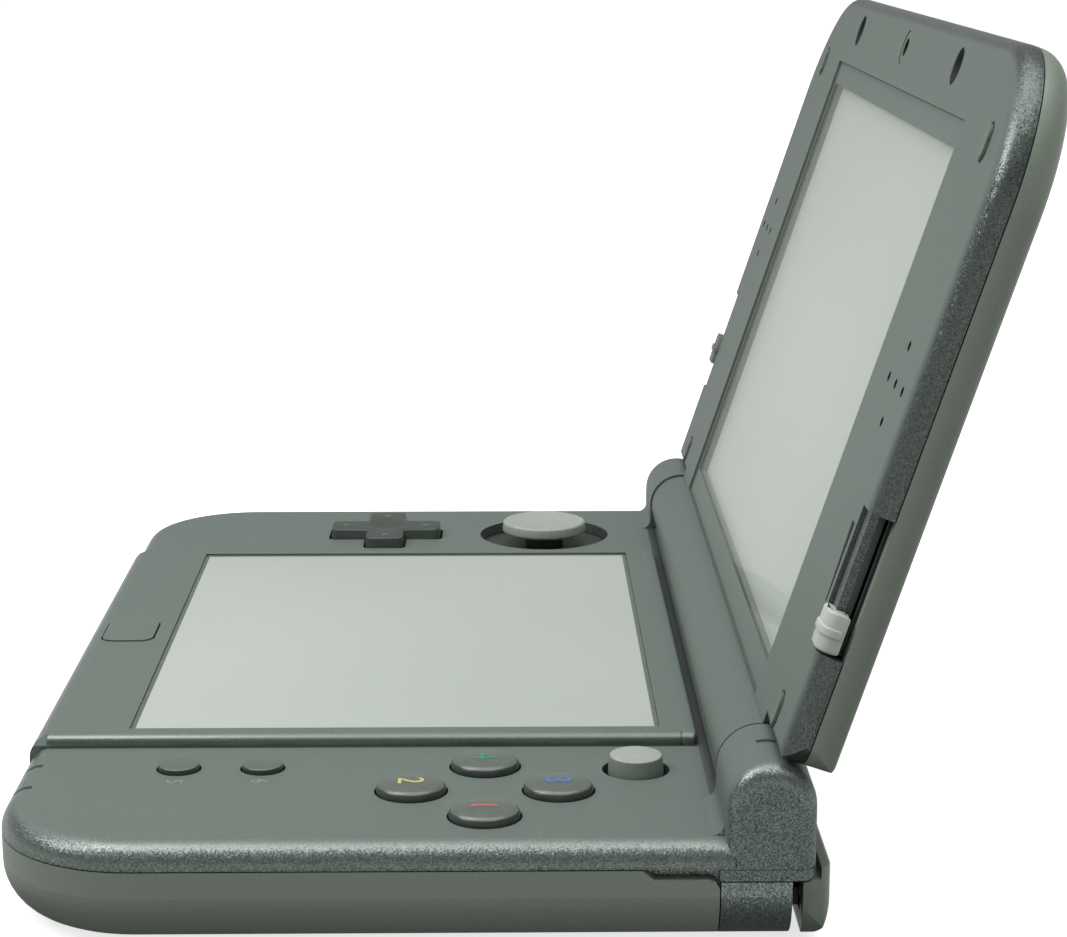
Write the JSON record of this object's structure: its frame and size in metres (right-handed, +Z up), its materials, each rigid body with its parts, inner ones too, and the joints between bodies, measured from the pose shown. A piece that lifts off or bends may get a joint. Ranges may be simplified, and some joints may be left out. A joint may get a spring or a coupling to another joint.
{
  "type": "clamshell handheld game console",
  "caption": "Wide clamshell handheld game console standing open, with a screen in each half, round pads, push buttons and shoulder buttons.",
  "frame": {"origin": "centre of the lower body's bottom face, halfway across and halfway from its front edge to the back of its shoulder buttons", "axes": "+X to the right-hand side, +Y towards the hinge, +Z up out of the lower body; lid open at 108.4 degrees"},
  "size_m": [0.16, 0.1181, 0.0973],
  "materials": {
    "cover_plastic": "satin moulded plastic, plain olive grey",
    "shell_plastic": "painted plastic, dark grey-green with fine metallic flake",
    "button_plastic": "dark grey moulded plastic",
    "pale_plastic": "pale grey moulded plastic",
    "black_plastic": "black moulded plastic",
    "dark_window": "dark tinted clear plastic",
    "light_guide": "milky clear plastic",
    "screen_face": "pale grey touch film, soft gloss",
    "screen_panel": "liquid crystal panel, switched off",
    "lid_glass": "clear cover plate",
    "rubber": "black silicone rubber",
    "bumper_rubber": "grey rubber",
    "circuit_board": "green circuit board",
    "radio_board": "blue circuit board",
    "battery_skin": "battery pack shell",
    "steel": "plain steel",
    "ribbon": "amber flexible circuit"
  },
  "bodies": {
    "base": {"bottom_cover": "cover_plastic", "lower_case": "shell_plastic", "deck_shell": "shell_plastic", "cover_screws": "steel", "case_screws": "steel", "battery": "battery_skin", "main_board": "circuit_board", "control_board": "circuit_board", "wireless_board": "radio_board", "card_reader": "steel", "headphone_socket": "black_plastic", "charging_socket": "steel", "infrared_window": "dark_window", "indicator_windows": "light_guide", "lower_screen": "screen_panel", "touch_panel": "screen_face", "right_membrane": "rubber", "home_membrane": "rubber", "dpad_membrane": "rubber", "pad_housing": "black_plastic", "stick_base": "black_plastic", "trigger_pins": "steel", "trigger_switches": "black_plastic", "hinge_bush": "black_plastic", "hinge_unit": "steel"},
    "lid": {"lid_bezel": "shell_plastic", "lid_cover": "cover_plastic", "lid_screws": "steel", "glass_plate": "lid_glass", "upper_screen": "screen_panel", "lid_board": "circuit_board", "display_cable": "ribbon", "inner_camera": "dark_window", "outer_cameras": "dark_window", "sensor_windows": "dark_window", "speakers": "black_plastic", "slider_boards": "black_plastic", "lid_bumpers": "bumper_rubber", "hinge_shaft": "steel"},
    "depth_slider": {"depth_slider": "pale_plastic"},
    "volume_slider": {"volume_slider": "shell_plastic"},
    "button_right": {"button_right": "button_plastic"},
    "button_bottom": {"button_bottom": "button_plastic"},
    "button_top": {"button_top": "button_plastic"},
    "button_left": {"button_left": "button_plastic"},
    "small_button_front": {"small_button_front": "button_plastic"},
    "small_button_rear": {"small_button_rear": "button_plastic"},
    "home_button": {"home_button": "shell_plastic"},
    "power_button": {"power_button": "button_plastic"},
    "dpad": {"dpad": "button_plastic"},
    "pad_carriage": {"pad_carriage": "pale_plastic"},
    "pad_disc": {"pad_disc": "button_plastic", "pad_cap": "button_plastic"},
    "stick_post": {"stick_post": "steel"},
    "stick_cap": {"stick_cap": "pale_plastic"},
    "shoulder_left": {"shoulder_left": "button_plastic"},
    "shoulder_right": {"shoulder_right": "button_plastic"},
    "trigger_left": {"trigger_left": "button_plastic"},
    "trigger_right": {"trigger_right": "button_plastic"},
    "stylus": {"stylus": "button_plastic"}
  },
  "joints": [
    {"name": "lid_hinge", "type": "hinge", "parent": "base", "child": "lid", "pos_m": [0, 0.0399, 0.016], "axis": [-1, 0, 0], "range_deg": [-108.4, 41.6]},
    {"name": "depth_slide", "type": "slide", "parent": "lid", "child": "depth_slider", "axis": [0, 0.3156, 0.9489], "range_m": [0, 0.011]},
    {"name": "volume_slide", "type": "slide", "parent": "lid", "child": "volume_slider", "axis": [0, 0.3156, 0.9489], "range_m": [-0.0036, 0.0072]},
    {"name": "button_right_press", "type": "slide", "parent": "base", "child": "button_right", "axis": [0, 0, -1], "range_m": [0, 0.0007], "stiffness_N_per_m": 800, "springref_m": -0.0006},
    {"name": "button_bottom_press", "type": "slide", "parent": "base", "child": "button_bottom", "axis": [0, 0, -1], "range_m": [0, 0.0007], "stiffness_N_per_m": 800, "springref_m": -0.0006},
    {"name": "button_top_press", "type": "slide", "parent": "base", "child": "button_top", "axis": [0, 0, -1], "range_m": [0, 0.0007], "stiffness_N_per_m": 800, "springref_m": -0.0006},
    {"name": "button_left_press", "type": "slide", "parent": "base", "child": "button_left", "axis": [0, 0, -1], "range_m": [0, 0.0007], "stiffness_N_per_m": 800, "springref_m": -0.0006},
    {"name": "small_button_front_press", "type": "slide", "parent": "base", "child": "small_button_front", "axis": [0, 0, -1], "range_m": [0, 0.0006], "stiffness_N_per_m": 800, "springref_m": -0.0006},
    {"name": "small_button_rear_press", "type": "slide", "parent": "base", "child": "small_button_rear", "axis": [0, 0, -1], "range_m": [0, 0.0006], "stiffness_N_per_m": 800, "springref_m": -0.0006},
    {"name": "home_button_press", "type": "slide", "parent": "base", "child": "home_button", "axis": [0, 0, -1], "range_m": [0, 0.0005], "stiffness_N_per_m": 800, "springref_m": -0.0006},
    {"name": "power_button_press", "type": "slide", "parent": "base", "child": "power_button", "axis": [0, 1, 0], "range_m": [0, 0.0005], "stiffness_N_per_m": 800, "springref_m": -0.0006},
    {"name": "dpad_tilt", "type": "hinge", "parent": "base", "child": "dpad", "pos_m": [-0.0615, -0.008, 0.009], "axis": [1, 0, 0], "range_deg": [-3, 3], "stiffness_Nm_per_rad": 0.4},
    {"name": "pad_across", "type": "slide", "parent": "base", "child": "pad_carriage", "axis": [1, 0, 0], "range_m": [-0.0026, 0.0026], "stiffness_N_per_m": 150},
    {"name": "pad_along", "type": "slide", "parent": "pad_carriage", "child": "pad_disc", "axis": [0, 1, 0], "range_m": [-0.0026, 0.0026], "stiffness_N_per_m": 150},
    {"name": "stick_across", "type": "hinge", "parent": "base", "child": "stick_post", "pos_m": [0.0549, 0.0263, 0.0092], "axis": [0, 1, 0], "range_deg": [-2.5, 2.5], "stiffness_Nm_per_rad": 0.2},
    {"name": "stick_along", "type": "hinge", "parent": "stick_post", "child": "stick_cap", "pos_m": [0.0549, 0.0263, 0.0092], "axis": [1, 0, 0], "range_deg": [-2.5, 2.5], "stiffness_Nm_per_rad": 0.2},
    {"name": "shoulder_right_press", "type": "hinge", "parent": "base", "child": "shoulder_right", "pos_m": [0.054, 0.0437, 0.0045], "axis": [0, 0, -1], "range_deg": [0, 1.1], "stiffness_Nm_per_rad": 0.6, "springref_deg": -1.72},
    {"name": "shoulder_left_press", "type": "hinge", "parent": "base", "child": "shoulder_left", "pos_m": [-0.054, 0.0437, 0.0045], "axis": [0, 0, 1], "range_deg": [0, 1.1], "stiffness_Nm_per_rad": 0.6, "springref_deg": -1.72},
    {"name": "trigger_right_press", "type": "hinge", "parent": "base", "child": "trigger_right", "pos_m": [0.0382, 0.0437, 0.0045], "axis": [0, 0, -1], "range_deg": [0, 2.2], "stiffness_Nm_per_rad": 0.2, "springref_deg": -2.86},
    {"name": "trigger_left_press", "type": "hinge", "parent": "base", "child": "trigger_left", "pos_m": [-0.0382, 0.0437, 0.0045], "axis": [0, 0, 1], "range_deg": [0, 2.2], "stiffness_Nm_per_rad": 0.2, "springref_deg": -2.86},
    {"name": "stylus_pull", "type": "slide", "parent": "base", "child": "stylus", "axis": [0, -1, 0], "range_m": [0, 0.07]}
  ]
}
